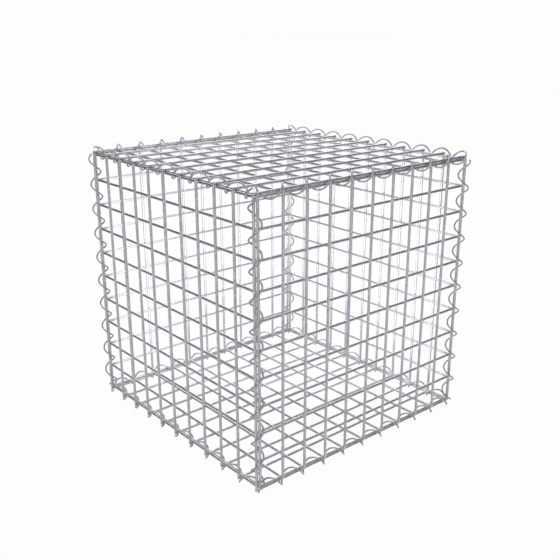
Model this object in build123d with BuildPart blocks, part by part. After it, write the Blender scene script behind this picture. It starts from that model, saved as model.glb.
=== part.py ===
"""Welded mesh gabion basket: six square wire panels laced along every edge by spiral binders."""

import os
from math import cos, hypot, pi, radians, sin, sqrt, tan

from build123d import *

# Mesh panels
cells = 10
mesh_pitch = 50.0
mesh_wire = 5.0
weld_depth = 1.2
edge_offset = 4.4
mitre_gap = 0.3
rest_gap = 0.2
end_overhang = 1.6

# Spiral binders
spiral_wire = 3.0
spiral_slack = 3.25
spiral_seat_gap = 0.3
base_spiral_drop = 0.65

# Octagonal bars with the cross sections of the round wires
bar_sides = 8
bar_flat_share = sqrt(pi / (bar_sides * tan(pi / bar_sides)))
bar_apothem = bar_flat_share * mesh_wire / 2
spiral_apothem = bar_flat_share * spiral_wire / 2
bar_turn = 180 / bar_sides

# Levels and distances from the middle of the basket
span = cells * mesh_pitch
half = span / 2
layer_step = mesh_wire - weld_depth
wall_outer = half + edge_offset
wall_inner = wall_outer - layer_step
stub = bar_apothem
end_outer = 2 * bar_apothem + rest_gap
end_inner = end_outer - layer_step
end_reach = wall_outer + end_overhang
end_side_reach = wall_inner - bar_apothem - rest_gap
end_edge = wall_inner - end_outer
end_side_edge = wall_outer - end_outer
spiral_bore = hypot(end_outer, wall_inner - end_side_edge) / 2 + mesh_wire / 2 + spiral_seat_gap + spiral_slack
spiral_radius = spiral_bore + spiral_wire / 2
ground_to_wall = spiral_radius + spiral_wire / 2 + base_spiral_drop
wall_middle = ground_to_wall + half
wall_top = ground_to_wall + span

os.makedirs("parts", exist_ok=True)


def bar_section():
    """Octagon of one wire, flat side towards its neighbours."""
    RegularPolygon(bar_apothem, bar_sides, major_radius=False, rotation=bar_turn)


# One wall: uprights outside, cross wires inside, mitred at both corners
with BuildPart() as wall:
    with BuildSketch(Plane.XY.offset(ground_to_wall - stub)):
        with Locations((0, -wall_outer)):
            with GridLocations(mesh_pitch, mesh_pitch, cells + 1, 1):
                bar_section()
    extrude(amount=span + 2 * stub)
    with BuildSketch(Plane.YZ.offset(-wall_outer)):
        with Locations((-wall_inner, wall_middle)):
            with GridLocations(mesh_pitch, mesh_pitch, 1, cells + 1):
                bar_section()
    extrude(amount=2 * wall_outer)
    for side in (-1, 1):
        corner = Plane((0, -mitre_gap / sqrt(2), 0), x_dir=(0, 0, 1), z_dir=(side, 1, 0))
        split(bisect_by=corner, keep=Keep.BOTTOM)

for name, turn in (("front_panel", 0), ("right_panel", 90), ("back_panel", 180), ("left_panel", 270)):
    with BuildPart() as panel:
        add(wall.part, rotation=(0, 0, turn))
    panel.part.label = name
    export_step(panel.part, f"parts/{name}.step")

# Lid and base are one panel used twice: inner wires set between the walls, outer wires across the front and back
with BuildPart() as end:
    with BuildSketch(Plane.YZ.offset(-end_side_reach)):
        with Locations((0, end_inner)):
            with GridLocations(mesh_pitch, mesh_pitch, cells - 1, 1):
                bar_section()
            with Locations((-end_edge, 0), (end_edge, 0)):
                bar_section()
    extrude(amount=2 * end_side_reach)
    with BuildSketch(Plane.XZ.offset(-end_reach)):
        with Locations((0, end_outer)):
            with GridLocations(mesh_pitch, mesh_pitch, cells - 1, 1):
                bar_section()
            with Locations((-end_side_edge, 0), (end_side_edge, 0)):
                bar_section()
    extrude(amount=2 * end_reach)

for name, level, turn in (("lid_panel", wall_top, 0), ("base_panel", ground_to_wall, 180)):
    with BuildPart(Plane.XY.offset(level)) as panel:
        add(end.part, rotation=(turn, 0, 0))
    panel.part.label = name
    export_step(panel.part, f"parts/{name}.step")


def seated(middle, angle, wires):
    """Moves a spiral's axis from middle, along angle, until its inside lies on the first wire."""
    play = spiral_bore - mesh_wire / 2 - spiral_seat_gap
    way = (cos(radians(angle)), sin(radians(angle)))
    shifts = []
    for wire in wires:
        apart = (middle[0] - wire[0], middle[1] - wire[1])
        along = apart[0] * way[0] + apart[1] * way[1]
        shifts.append(sqrt(along**2 - apart[0] ** 2 - apart[1] ** 2 + play**2) - along)
    shift = min(shifts)
    return middle[0] + shift * way[0], middle[1] + shift * way[1]


def between(first, second):
    """Point half way between two wires."""
    return (first[0] + second[0]) / 2, (first[1] + second[1]) / 2


# Upright corners: plan positions of the two edge wires, seat direction, hand, phase
upright_spirals = (
    ("front_right_spiral", 1, -1, 155, False, 355),
    ("front_left_spiral", -1, -1, -45, True, 182),
    ("back_right_spiral", 1, 1, 135, True, 2),
    ("back_left_spiral", -1, 1, -25, False, 175),
)

spirals = []
for name, right, rear, seat_angle, lefthand, phase in upright_spirals:
    pair = ((right * half, rear * wall_outer), (right * wall_outer, rear * half))
    axis = seated(between(*pair), seat_angle, pair)
    place = Plane((axis[0], axis[1], ground_to_wall), x_dir=(1, 0, 0), z_dir=(0, 0, 1))
    spirals.append((name, place, lefthand, phase, 0, cells))

# Front and back edges of lid and base, along X: across (y, z)
for name, rear, seat_angle, phase in (("lid_front_spiral", -1, 115, 115), ("lid_back_spiral", 1, 65, 65)):
    pair = ((rear * wall_inner, wall_top), (rear * end_edge, wall_top + end_inner))
    axis = seated(between(*pair), seat_angle, pair)
    place = Plane((-half, axis[0], axis[1]), x_dir=(0, 1, 0), z_dir=(1, 0, 0))
    spirals.append((name, place, True, phase, 0, cells))

base_spiral_height = ground_to_wall - base_spiral_drop
for name, rear, seat_angle, phase in (("base_front_spiral", -1, 180, 276), ("base_back_spiral", 1, 0, 268)):
    pair = ((rear * wall_inner, ground_to_wall), (rear * end_edge, ground_to_wall - end_inner))
    axis = seated((between(*pair)[0], base_spiral_height), seat_angle, pair)
    place = Plane((-half, axis[0], axis[1]), x_dir=(0, 1, 0), z_dir=(1, 0, 0))
    spirals.append((name, place, True, phase, 0, cells))

# Right and left edges of lid and base, along Y: across (z, x)
for name, right, seat_angle, phase in (("lid_right_spiral", 1, 60, 345), ("lid_left_spiral", -1, -60, 15)):
    pair = ((wall_top, right * wall_inner), (wall_top + end_outer, right * end_side_edge))
    axis = seated(between(*pair), seat_angle, pair)
    place = Plane((axis[1], -half, axis[0]), x_dir=(0, 0, 1), z_dir=(0, 1, 0))
    spirals.append((name, place, True, phase, 0, cells))

# The base spirals of the sides are cut short by shares of a turn, clear of those of front and back
for name, right, seat_angle, phase, start_share, end_share in (
    ("base_right_spiral", 1, 90, 188, 0.24, 0.06),
    ("base_left_spiral", -1, -90, 184, 0.04, 0.24),
):
    pair = ((ground_to_wall, right * wall_inner), (ground_to_wall - end_outer, right * end_side_edge))
    axis = seated((base_spiral_height, between(*pair)[1]), seat_angle, pair)
    place = Plane((axis[1], -half, axis[0]), x_dir=(0, 0, 1), z_dir=(0, 1, 0))
    spirals.append((name, place, False, phase, start_share, cells - end_share))

# Each spiral: one turn for each cell, swept from its first turn to its last
for name, place, lefthand, phase, first, last in spirals:
    hand = -1 if lefthand else 1
    start = place.offset(first * mesh_pitch).location * Rotation(0, 0, phase + hand * 360 * first)
    with BuildPart() as coil:
        with BuildLine() as path:
            Helix(mesh_pitch, (last - first) * mesh_pitch, spiral_radius, lefthand=lefthand)
        with BuildSketch(Plane(path.line @ 0, z_dir=path.line % 0)):
            RegularPolygon(spiral_apothem, bar_sides, major_radius=False)
        sweep(is_frenet=True)
    with BuildPart(Plane(start)) as spiral:
        add(coil.part)
    spiral.part.label = name
    export_step(spiral.part, f"parts/{name}.step")
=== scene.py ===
import math

import bmesh
import bpy
from mathutils import Matrix, Vector


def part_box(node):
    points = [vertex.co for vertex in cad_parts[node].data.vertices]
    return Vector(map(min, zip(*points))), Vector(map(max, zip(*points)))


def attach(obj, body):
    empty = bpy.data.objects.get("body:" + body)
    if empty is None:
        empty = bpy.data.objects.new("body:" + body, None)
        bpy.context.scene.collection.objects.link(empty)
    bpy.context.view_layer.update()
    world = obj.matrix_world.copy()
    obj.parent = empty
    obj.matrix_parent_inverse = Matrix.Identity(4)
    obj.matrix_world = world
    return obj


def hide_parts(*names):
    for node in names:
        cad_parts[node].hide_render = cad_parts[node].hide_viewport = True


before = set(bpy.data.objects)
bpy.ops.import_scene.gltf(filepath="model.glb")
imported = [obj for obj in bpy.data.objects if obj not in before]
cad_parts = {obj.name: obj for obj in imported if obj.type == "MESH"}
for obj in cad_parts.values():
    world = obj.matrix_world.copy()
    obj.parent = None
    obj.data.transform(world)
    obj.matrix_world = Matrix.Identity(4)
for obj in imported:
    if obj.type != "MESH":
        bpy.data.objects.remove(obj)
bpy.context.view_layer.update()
print("frame loaded:", len(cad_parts), "nodes")

# sizes shared by every wire of the basket, in metres, as the solids have them
basket = {
    "cells": 10,
    "pitch": 0.05,
    "meshWire": 0.005,
    "wallOuter": 0.2544,      # line of the uprights
    "wallInner": 0.2506,      # line of the cross wires
    "mitreGap": 0.0003,
    "restGap": 0.0002,        # between the end panels and the walls that carry them
}
half = basket["cells"] * basket["pitch"] / 2
lines = [i * basket["pitch"] - half for i in range(basket["cells"] + 1)]      # weld lines, from the middle
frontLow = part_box("front_panel")[0]
barHalf = -frontLow.y - basket["wallOuter"]         # half the width of a bar of the solids
weldLevel = frontLow.z + barHalf                    # lowest cross wire of the walls


# node groups shared by the two zinc finishes

zincLook = {
    "patchDetail": 3,
    "patchRoughness": 0.55,
    "spangleRatio": 2.6,      # how much finer the spangles are than the patches
    "spangleShare": 0.38,
    "speckDetail": 2,
    "speckDepth": 0.0002,
    "toneRange": (0.3, 0.7),      # tones that count as dull and as bright
}


def newGroup(name, inputs, outputs):
    group = bpy.data.node_groups.new(name, "ShaderNodeTree")
    for way, sockets in (("INPUT", inputs), ("OUTPUT", outputs)):
        for socketName, kind in sockets.items():
            group.interface.new_socket(socketName, in_out=way, socket_type="NodeSocket" + kind)
    return group, group.nodes.new("NodeGroupInput"), group.nodes.new("NodeGroupOutput")


def mathNode(nodes, operation, clamp=False):
    node = nodes.new("ShaderNodeMath")
    node.operation = operation
    node.use_clamp = clamp
    return node


def toneSpread(nodes, dull, bright):
    # stretches the tone from the dull value to the bright one
    spread = nodes.new("ShaderNodeMapRange")
    lowest, highest = zincLook["toneRange"]
    limits = {"From Min": lowest, "From Max": highest, "To Min": dull, "To Max": bright}
    for socketName, value in limits.items():
        spread.inputs[socketName].default_value = value
    return spread


def makeZincBloom():
    # patches and spangles of lighter and duller zinc, with small specks on top
    group, given, out = newGroup(
        "zincBloom",
        {"Vector": "Vector", "Patch Scale": "Float", "Speck Scale": "Float"},
        {"Tone": "Float", "Speck": "Float"},
    )
    nodes, links = group.nodes, group.links
    patch = nodes.new("ShaderNodeTexNoise")
    patch.inputs["Detail"].default_value = zincLook["patchDetail"]
    patch.inputs["Roughness"].default_value = zincLook["patchRoughness"]
    spangle = nodes.new("ShaderNodeTexVoronoi")
    speck = nodes.new("ShaderNodeTexNoise")
    speck.inputs["Detail"].default_value = zincLook["speckDetail"]
    finer = mathNode(nodes, "MULTIPLY")
    finer.inputs[1].default_value = zincLook["spangleRatio"]
    links.new(given.outputs["Patch Scale"], finer.inputs[0])
    for texture, scale in (
        (patch, given.outputs["Patch Scale"]),
        (spangle, finer.outputs[0]),
        (speck, given.outputs["Speck Scale"]),
    ):
        links.new(given.outputs["Vector"], texture.inputs["Vector"])
        links.new(scale, texture.inputs["Scale"])
    grey = nodes.new("ShaderNodeRGBToBW")
    links.new(spangle.outputs["Color"], grey.inputs[0])
    mix = nodes.new("ShaderNodeMix")
    mix.inputs["Factor"].default_value = zincLook["spangleShare"]
    links.new(patch.outputs["Fac"], mix.inputs["A"])
    links.new(grey.outputs[0], mix.inputs["B"])
    links.new(mix.outputs["Result"], out.inputs["Tone"])
    links.new(speck.outputs["Fac"], out.inputs["Speck"])
    return group


def makeZincColour():
    # the tone picks a grey, and the brighter zinc of a weld is paler still
    group, given, out = newGroup(
        "zincColour",
        {"Tone": "Float", "Weld": "Float", "Dull": "Color", "Bright": "Color", "Weld Colour": "Color"},
        {"Colour": "Color"},
    )
    nodes, links = group.nodes, group.links
    spread = toneSpread(nodes, 0, 1)
    links.new(given.outputs["Tone"], spread.inputs["Value"])
    plain = nodes.new("ShaderNodeMix")
    plain.data_type = "RGBA"
    links.new(spread.outputs["Result"], plain.inputs["Factor"])
    links.new(given.outputs["Dull"], plain.inputs["A"])
    links.new(given.outputs["Bright"], plain.inputs["B"])
    share = mathNode(nodes, "MULTIPLY")
    links.new(given.outputs["Weld"], share.inputs[0])
    links.new(given.outputs["Tone"], share.inputs[1])
    welded = nodes.new("ShaderNodeMix")
    welded.data_type = "RGBA"
    links.new(share.outputs[0], welded.inputs["Factor"])
    links.new(plain.outputs["Result"], welded.inputs["A"])
    links.new(given.outputs["Weld Colour"], welded.inputs["B"])
    links.new(welded.outputs["Result"], out.inputs["Colour"])
    return group


zincBloom = makeZincBloom()
zincColour = makeZincColour()


def zincMaterial(name, finish):
    material = bpy.data.materials.new(name)
    material.use_nodes = True
    nodes, links = material.node_tree.nodes, material.node_tree.links
    shader = nodes["Principled BSDF"]
    shader.inputs["Specular IOR Level"].default_value = finish["specular"]
    place = nodes.new("ShaderNodeTexCoord")
    weld = nodes.new("ShaderNodeAttribute")
    weld.attribute_name = "weld"
    bloom = nodes.new("ShaderNodeGroup")
    bloom.node_tree = zincBloom
    bloom.inputs["Patch Scale"].default_value = finish["patchScale"]
    bloom.inputs["Speck Scale"].default_value = finish["speckScale"]
    links.new(place.outputs["Object"], bloom.inputs["Vector"])
    colour = nodes.new("ShaderNodeGroup")
    colour.node_tree = zincColour
    for socketName, key in (("Dull", "dull"), ("Bright", "bright"), ("Weld Colour", "weldColour")):
        colour.inputs[socketName].default_value = (*finish[key], 1)
    links.new(bloom.outputs["Tone"], colour.inputs["Tone"])
    links.new(weld.outputs["Fac"], colour.inputs["Weld"])
    links.new(colour.outputs["Colour"], shader.inputs["Base Color"])
    for socketName, key in (("Roughness", "roughness"), ("Metallic", "metallic")):
        spread = toneSpread(nodes, *finish[key])
        links.new(bloom.outputs["Tone"], spread.inputs["Value"])
        links.new(spread.outputs["Result"], shader.inputs[socketName])
    bump = nodes.new("ShaderNodeBump")
    bump.inputs["Strength"].default_value = finish["bump"]
    bump.inputs["Distance"].default_value = zincLook["speckDepth"]
    links.new(bloom.outputs["Speck"], bump.inputs["Height"])
    links.new(bump.outputs["Normal"], shader.inputs["Normal"])
    return material


# pairs are for dull and for bright zinc
meshFinish = {
    "dull": (0.45, 0.455, 0.487),
    "bright": (0.55, 0.555, 0.592),
    "weldColour": (0.68, 0.685, 0.71),
    "metallic": (0.65, 0.8),
    "specular": 0.1,
    "roughness": (0.30, 0.22),
    "patchScale": 70,
    "speckScale": 1400,
    "bump": 0.18,
}
spiralFinish = {
    "dull": (0.33, 0.335, 0.36),
    "bright": (0.46, 0.465, 0.495),
    "weldColour": (0.46, 0.465, 0.495),      # a spiral has no welds
    "metallic": (0.65, 0.8),
    "specular": 0.1,
    "roughness": (0.29, 0.2),
    "patchScale": 110,
    "speckScale": 1700,
    "bump": 0.14,
}
meshZinc = zincMaterial("meshZinc", meshFinish)
spiralZinc = zincMaterial("spiralZinc", spiralFinish)
print("zinc finishes made")


# steps shared by the pieces

wireEnd = {
    "bevel": 0.0004,
    "segments": 2,
}


def newMesh():
    bm = bmesh.new()
    bm.verts.layers.float.new("weld")
    return bm


def bevelEnds(bm, edges):
    bmesh.ops.bevel(
        bm, geom=edges, offset=wireEnd["bevel"], segments=wireEnd["segments"],
        profile=0.5, affect="EDGES", material=-1,
    )


def addObject(name, data):
    added = bpy.data.objects.new(name, data)
    bpy.context.scene.collection.objects.link(added)
    return added


def meshObject(bm, name, material):
    mesh = bpy.data.meshes.new(name)
    bm.to_mesh(mesh)
    bm.free()
    mesh.materials.append(material)
    return addObject(name, mesh)


def finishPiece(bm, name, node, material):
    bmesh.ops.recalc_face_normals(bm, faces=bm.faces)
    for face in bm.faces:
        face.smooth = True
    piece = meshObject(bm, name, material)
    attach(piece, "root")
    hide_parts(node)


# welded mesh

wireLook = {
    "sides": 12,
    "rings": (-0.0045, -0.0022, 0, 0.0022, 0.0045),      # rings of a wire at each weld
    "weldReach": 0.006,       # where the pale zinc of a weld has faded out
    "endRoom": 0.0005,        # no ring is this close to an end
    "press": 0.00018,         # how far a wire is pressed into the one it crosses
    "bead": (0.0034, 0.0034, 0.0028),
    "beadSegments": (8, 6),
}


def drawWires(start, end, crossings, towards, step, count):
    # a round wire drawn ring by ring, pressed towards its neighbours at the welds, then set out in a row
    bm = newMesh()
    weld = bm.verts.layers.float["weld"]
    start, end, towards = Vector(start), Vector(end), Vector(towards)
    along = (end - start).normalized()
    length = (end - start).length
    stops = [(0.0, 0.0), (length, 0.0)]
    for crossing in crossings:
        for ring in wireLook["rings"]:
            if wireLook["endRoom"] < crossing + ring < length - wireLook["endRoom"]:
                stops.append((crossing + ring, 1 - abs(ring) / wireLook["weldReach"]))
    stops.sort()
    turn = Matrix((along.cross(towards), towards, along)).transposed().to_4x4()
    bmesh.ops.create_circle(
        bm, cap_ends=True, segments=wireLook["sides"], radius=basket["meshWire"] / 2,
        matrix=Matrix.Translation(start) @ turn,
    )
    firstEdges = list(bm.edges)
    edges = firstEdges
    for (before, _), (at, share) in zip(stops, stops[1:]):
        grown = bmesh.ops.extrude_edge_only(bm, edges=edges)["geom"]
        verts = [g for g in grown if isinstance(g, bmesh.types.BMVert)]
        edges = [g for g in grown if isinstance(g, bmesh.types.BMEdge)]
        bmesh.ops.translate(bm, verts=verts, vec=along * (at - before))
        for vert in verts:
            vert[weld] = share
    bmesh.ops.contextual_create(bm, geom=edges)
    pressed = [v for v in bm.verts if v[weld] == 1]
    bmesh.ops.translate(bm, verts=pressed, vec=towards * wireLook["press"])
    bevelEnds(bm, firstEdges + edges)
    bmesh.ops.spin(
        bm, geom=bm.verts[:] + bm.edges[:] + bm.faces[:], cent=(0, 0, 0), axis=(0, 0, 1), dvec=step,
        angle=0, steps=count - 1, use_merge=False, use_duplicate=True,
    )
    return bm


def drawBeads(places, flat):
    # metal pressed out round each weld
    bm = newMesh()
    weld = bm.verts.layers.float["weld"]
    turn = Vector((0, 0, 1)).rotation_difference(Vector(flat)).to_matrix().to_4x4()
    shape = turn @ Matrix.Diagonal((*wireLook["bead"], 1))
    around, over = wireLook["beadSegments"]
    for place in places:
        bmesh.ops.create_uvsphere(
            bm, u_segments=around, v_segments=over, radius=1, matrix=Matrix.Translation(place) @ shape
        )
    for vert in bm.verts:
        vert[weld] = 1
    return bm


def weldTogether(*rows):
    bm = newMesh()
    for row in rows:
        part = bpy.data.meshes.new("wires")
        row.to_mesh(part)
        row.free()
        bm.from_mesh(part)
        bpy.data.meshes.remove(part)
    return bm


def makeWall():
    # the front wall: uprights outside, cross wires inside
    outer, inner, pitch = basket["wallOuter"], basket["wallInner"], basket["pitch"]
    bottom, top = weldLevel - barHalf, weldLevel + 2 * half + barHalf
    reach = inner - basket["mitreGap"] / math.sqrt(2)
    levels = [weldLevel + half + line for line in lines]
    uprights = drawWires(
        (-half, -outer, bottom), (-half, -outer, top), [z - bottom for z in levels],
        (0, 1, 0), (pitch, 0, 0), len(lines),
    )
    crossWires = drawWires(
        (-reach, -inner, levels[0]), (reach, -inner, levels[0]), [x + reach for x in lines],
        (0, -1, 0), (0, 0, pitch), len(levels),
    )
    beads = drawBeads([(x, -(outer + inner) / 2, z) for x in lines for z in levels], (0, 1, 0))
    return weldTogether(uprights, crossWires, beads)


for name, node, quarterTurns in (
    ("frontMesh", "front_panel", 0),
    ("rightMesh", "right_panel", 1),
    ("backMesh", "back_panel", 2),
    ("leftMesh", "left_panel", 3),
):
    bm = makeWall()
    turn = Matrix.Rotation(quarterTurns * math.pi / 2, 3, "Z")
    bmesh.ops.rotate(bm, verts=bm.verts, cent=(0, 0, 0), matrix=turn)
    finishPiece(bm, name, node, meshZinc)
print("walls welded")


def makeEnd(node, inwards):
    # outer wires run front to back, inner wires lie between the walls
    low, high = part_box(node)
    levels = (low.z + barHalf, high.z - barHalf)
    outer, inner = levels if inwards > 0 else reversed(levels)
    reach, sideEdge = high.y, high.x - barHalf
    edge = basket["wallInner"] - 2 * barHalf - basket["restGap"]
    sideReach = edge + barHalf
    middle = lines[1:-1]
    acrossLines, alongLines = [-sideEdge, *middle, sideEdge], [-edge, *middle, edge]
    middleRow = (middle[0], basket["pitch"], len(middle))
    rows = []
    for first, step, count in (middleRow, (-sideEdge, 2 * sideEdge, 2)):
        start, stop = (first, -reach, outer), (first, reach, outer)
        crossings = [y + reach for y in alongLines]
        rows.append(drawWires(start, stop, crossings, (0, 0, inwards), (step, 0, 0), count))
    for first, step, count in (middleRow, (-edge, 2 * edge, 2)):
        start, stop = (-sideReach, first, inner), (sideReach, first, inner)
        crossings = [x + sideReach for x in acrossLines]
        rows.append(drawWires(start, stop, crossings, (0, 0, -inwards), (0, step, 0), count))
    rows.append(drawBeads([(x, y, (outer + inner) / 2) for x in acrossLines for y in alongLines], (0, 0, 1)))
    return weldTogether(*rows)


finishPiece(makeEnd("lid_panel", -1), "lidMesh", "lid_panel", meshZinc)
finishPiece(makeEnd("base_panel", 1), "baseMesh", "base_panel", meshZinc)
print("lid and base welded")


# spiral binders: each is turned about the line through the middle of its node

spiral = {
    "wire": 0.003,
    "sides": 12,
    "stepsPerTurn": 40,
}
spiralList = (
    # name, node, axis, hand, phase at the first weld line, turns left off at each end
    ("frontRightSpiral", "front_right_spiral", 2, 1, 355, 0, 0),
    ("frontLeftSpiral", "front_left_spiral", 2, -1, 182, 0, 0),
    ("backRightSpiral", "back_right_spiral", 2, -1, 2, 0, 0),
    ("backLeftSpiral", "back_left_spiral", 2, 1, 175, 0, 0),
    ("lidFrontSpiral", "lid_front_spiral", 0, -1, 115, 0, 0),
    ("lidBackSpiral", "lid_back_spiral", 0, -1, 65, 0, 0),
    ("lidRightSpiral", "lid_right_spiral", 1, -1, 345, 0, 0),
    ("lidLeftSpiral", "lid_left_spiral", 1, -1, 15, 0, 0),
    ("baseFrontSpiral", "base_front_spiral", 0, -1, 276, 0, 0),
    ("baseBackSpiral", "base_back_spiral", 0, -1, 268, 0, 0),
    ("baseRightSpiral", "base_right_spiral", 1, 1, 188, 0.24, 0.06),
    ("baseLeftSpiral", "base_left_spiral", 1, 1, 184, 0.04, 0.24),
)


def makeSpiral(name, node, axis, hand, phase, startTrim, endTrim):
    low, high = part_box(node)
    pitch = basket["pitch"]
    across, over = (axis + 1) % 3, (axis + 2) % 3
    radius = (high[across] - low[across] - spiral["wire"]) / 2
    along, right, up = (Vector([float(i == way) for i in range(3)]) for way in (axis, across, over))
    middle = (low + high) / 2
    middle[axis] = (weldLevel if axis == 2 else -half) + startTrim * pitch
    angle = math.radians(phase) + hand * math.tau * startTrim
    outwards = right * math.cos(angle) + up * math.sin(angle)
    around = hand * (up * math.cos(angle) - right * math.sin(angle))
    tangent = (around * math.tau * radius + along * pitch).normalized()
    turn = Matrix((outwards, tangent.cross(outwards), tangent)).transposed().to_4x4()
    turns = basket["cells"] - startTrim - endTrim
    steps = round(turns * spiral["stepsPerTurn"])
    bm = newMesh()
    bmesh.ops.create_circle(
        bm, segments=spiral["sides"], radius=spiral["wire"] / 2,
        matrix=Matrix.Translation(middle + outwards * radius) @ turn,
    )
    firstEdges = list(bm.edges)
    spun = bmesh.ops.spin(
        bm, geom=firstEdges, cent=middle, axis=along, dvec=along * (turns * pitch / steps),
        angle=hand * math.tau * turns, steps=steps, use_merge=False, use_duplicate=False,
    )["geom_last"]
    lastEdges = [g for g in spun if isinstance(g, bmesh.types.BMEdge)]
    for edges in (firstEdges, lastEdges):
        bmesh.ops.contextual_create(bm, geom=edges)
    bevelEnds(bm, firstEdges + lastEdges)
    finishPiece(bm, name, node, spiralZinc)


for entry in spiralList:
    makeSpiral(*entry)
print("spirals wound")


# floor, light and camera

studio = {
    "floorColour": (0.8, 0.8, 0.81),
    "darkBounceColour": (0.05, 0.05, 0.052),      # painted shade: the near-black light the floor throws back up at the wires, which keeps their undersides dark
    "paperRoughness": 0.9,
    "floorWhite": 0.96,
    "floorSize": 30,
    "worldStrength": 0.5,
    "backdropWhite": 0.985,
    "lamps": {
        "topLamp": {"power": 8, "size": (2.5, 2.5), "place": (0, 0, 1.76), "aim": (0, 0, 0)},
        "backLamp": {"power": 18, "size": (1.6, 1.6), "place": (-1.88, 1.59, 1.1), "aim": (0, 0, 0.26)},
        "insideLamp": {      # lights the far walls from the middle of the basket
            "power": 1.6, "size": (0.64, 0.44), "place": (0, 0, 0.26), "aim": (-0.25, 0.25, 0.26),
        },
    },
    "flags": {      # dark cards left and right of the set, seen only in the metal
        "leftFlag": {"low": (-1.5, -2.6, 0.03), "high": (-1.5, -0.5, 2.0)},
        "rightFlag": {"low": (0.6, 1.5, 0.03), "high": (3.4, 1.5, 2.3)},
    },
    "flagColour": (0.02, 0.02, 0.022),
}


def showWhite(tree, lit, white, output):
    # camera, glossy and transmission rays see the white shader, and the rest sees the lit one
    nodes, links = tree.nodes, tree.links
    path = nodes.new("ShaderNodeLightPath")
    share = path.outputs["Is Camera Ray"]
    for ray in ("Is Glossy Ray", "Is Transmission Ray"):
        total = mathNode(nodes, "ADD", True)
        links.new(share, total.inputs[0])
        links.new(path.outputs[ray], total.inputs[1])
        share = total.outputs[0]
    blend = nodes.new("ShaderNodeMixShader")
    links.new(share, blend.inputs[0])
    links.new(lit.outputs[0], blend.inputs[1])
    links.new(white.outputs[0], blend.inputs[2])
    links.new(blend.outputs[0], output.inputs["Surface"])


def makePaper():
    paper = bpy.data.materials.new("palePaper")
    paper.use_nodes = True
    nodes, links = paper.node_tree.nodes, paper.node_tree.links
    # painted shade: rays that carry bounce light see this near-black shader instead of the pale paper, so
    # the wires' undersides get no light from the floor
    darkBounce = nodes["Principled BSDF"]
    darkBounce.inputs["Base Color"].default_value = (*studio["darkBounceColour"], 1)
    darkBounce.inputs["Roughness"].default_value = studio["paperRoughness"]
    sheet = nodes.new("ShaderNodeBsdfDiffuse")
    sheet.inputs["Color"].default_value = (*studio["floorColour"], 1)
    white = nodes.new("ShaderNodeEmission")
    seen = nodes.new("ShaderNodeMixShader")
    seen.inputs[0].default_value = studio["floorWhite"]
    links.new(sheet.outputs[0], seen.inputs[1])
    links.new(white.outputs[0], seen.inputs[2])
    showWhite(paper.node_tree, darkBounce, seen, nodes["Material Output"])
    return paper


def makeFloor():
    bm = bmesh.new()
    bmesh.ops.create_grid(bm, x_segments=1, y_segments=1, size=studio["floorSize"])
    meshObject(bm, "studioFloor", makePaper())


def makeWorld():
    world = bpy.data.worlds.new("studioWorld")
    bpy.context.scene.world = world
    world.use_nodes = True
    nodes = world.node_tree.nodes
    room, clear = nodes["Background"], nodes.new("ShaderNodeBackground")
    for light, strength in ((room, studio["worldStrength"]), (clear, studio["backdropWhite"])):
        light.inputs["Color"].default_value = (1, 1, 1, 1)
        light.inputs["Strength"].default_value = strength
    showWhite(world.node_tree, room, clear, nodes["World Output"])


def makeFlags():
    darkCloth = bpy.data.materials.new("darkCloth")
    darkCloth.use_nodes = True
    shader = darkCloth.node_tree.nodes["Principled BSDF"]
    shader.inputs["Base Color"].default_value = (*studio["flagColour"], 1)
    shader.inputs["Roughness"].default_value = 1
    for name, setting in studio["flags"].items():
        low, high = Vector(setting["low"]), Vector(setting["high"])
        bm = bmesh.new()
        corners = [bm.verts.new(c) for c in (low, (high.x, high.y, low.z), high, (low.x, low.y, high.z))]
        bmesh.ops.contextual_create(bm, geom=corners)
        flag = meshObject(bm, name, darkCloth)
        flag.visible_camera = flag.visible_diffuse = flag.visible_shadow = False


def makeLamps():
    for name, setting in studio["lamps"].items():
        lamp = bpy.data.lights.new(name, "AREA")
        lamp.energy = setting["power"]
        lamp.shape = "RECTANGLE"
        lamp.size, lamp.size_y = setting["size"]
        hung = addObject(name, lamp)
        hung.location = setting["place"]
        aim = Vector(setting["aim"]) - hung.location
        hung.rotation_euler = aim.to_track_quat("-Z", "Y").to_euler()
        hung.visible_camera = False


viewpoint = {
    "eye": (1.125004, -0.944218, 0.761056),
    "azimuth": 49.72,         # degrees, as is the elevation
    "elevation": 18.737,
    "lens": 49.29,            # millimetres, as is the sensor
    "sensor": 36,
}


def makeCamera():
    optics = bpy.data.cameras.new("photoCamera")
    optics.lens, optics.sensor_width = viewpoint["lens"], viewpoint["sensor"]
    camera = addObject("photoCamera", optics)
    azimuth, elevation = math.radians(viewpoint["azimuth"]), math.radians(viewpoint["elevation"])
    level = math.cos(elevation)
    back = Vector((math.sin(azimuth) * level, -math.cos(azimuth) * level, math.sin(elevation)))
    camera.location = viewpoint["eye"]
    camera.rotation_euler = (-back).to_track_quat("-Z", "Y").to_euler()
    bpy.context.scene.camera = camera


makeFloor()
makeWorld()
makeFlags()
makeLamps()
makeCamera()
bpy.context.scene.view_settings.view_transform = "Standard"
print("studio set")

bpy.context.view_layer.update()
